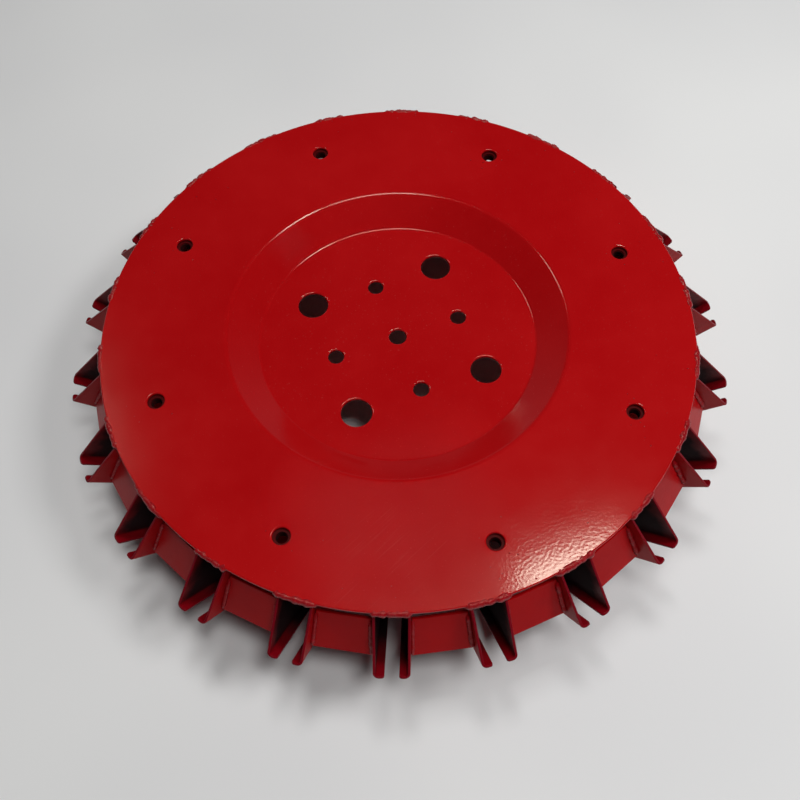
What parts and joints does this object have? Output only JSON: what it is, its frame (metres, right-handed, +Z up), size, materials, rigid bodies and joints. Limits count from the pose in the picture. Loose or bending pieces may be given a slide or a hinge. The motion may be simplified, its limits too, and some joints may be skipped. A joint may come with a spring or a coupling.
{
  "type": "sweeper brush rotor",
  "caption": "Dished steel rotor disc, gloss red, with inclined slotted C-rails round its rim that hold strip brushes, flat panels between the rails and weld nuts under the disc.",
  "frame": {"origin": "on the rotor's axis, at the height of the surface that the rails' lower ends stand on", "axes": "+Z up along the axis of rotation, out of the dished upper face; +X through one of the outer bolt holes and one of the hub bolt holes"},
  "size_m": [0.572, 0.5712, 0.1117],
  "materials": {
    "red_gloss_paint": "glossy red paint over welded sheet steel, slight orange peel",
    "nut_steel": "red overspray over a bright zinc weld nut, thread left bare"
  },
  "bodies": {
    "root": {"dished_disc": "red_gloss_paint", "weld_nut_1": "nut_steel", "weld_nut_2": "nut_steel", "weld_nut_3": "nut_steel", "weld_nut_4": "nut_steel", "weld_nut_5": "nut_steel", "weld_nut_6": "nut_steel", "weld_nut_7": "nut_steel", "weld_nut_8": "nut_steel", "brush_rail_01": "red_gloss_paint", "brush_rail_02": "red_gloss_paint", "brush_rail_03": "red_gloss_paint", "brush_rail_04": "red_gloss_paint", "brush_rail_05": "red_gloss_paint", "brush_rail_06": "red_gloss_paint", "brush_rail_07": "red_gloss_paint", "brush_rail_08": "red_gloss_paint", "brush_rail_09": "red_gloss_paint", "brush_rail_10": "red_gloss_paint", "brush_rail_11": "red_gloss_paint", "brush_rail_12": "red_gloss_paint", "brush_rail_13": "red_gloss_paint", "brush_rail_14": "red_gloss_paint", "brush_rail_15": "red_gloss_paint", "brush_rail_16": "red_gloss_paint", "brush_rail_17": "red_gloss_paint", "brush_rail_18": "red_gloss_paint", "brush_rail_19": "red_gloss_paint", "brush_rail_20": "red_gloss_paint", "brush_rail_21": "red_gloss_paint", "brush_rail_22": "red_gloss_paint", "rim_panel_01": "red_gloss_paint", "rim_panel_02": "red_gloss_paint", "rim_panel_03": "red_gloss_paint", "rim_panel_04": "red_gloss_paint", "rim_panel_05": "red_gloss_paint", "rim_panel_06": "red_gloss_paint", "rim_panel_07": "red_gloss_paint", "rim_panel_08": "red_gloss_paint", "rim_panel_09": "red_gloss_paint", "rim_panel_10": "red_gloss_paint", "rim_panel_11": "red_gloss_paint", "rim_panel_12": "red_gloss_paint", "rim_panel_13": "red_gloss_paint", "rim_panel_14": "red_gloss_paint", "rim_panel_15": "red_gloss_paint", "rim_panel_16": "red_gloss_paint", "rim_panel_17": "red_gloss_paint", "rim_panel_18": "red_gloss_paint", "rim_panel_19": "red_gloss_paint", "rim_panel_20": "red_gloss_paint", "rim_panel_21": "red_gloss_paint", "rim_panel_22": "red_gloss_paint"}
  },
  "joints": []
}
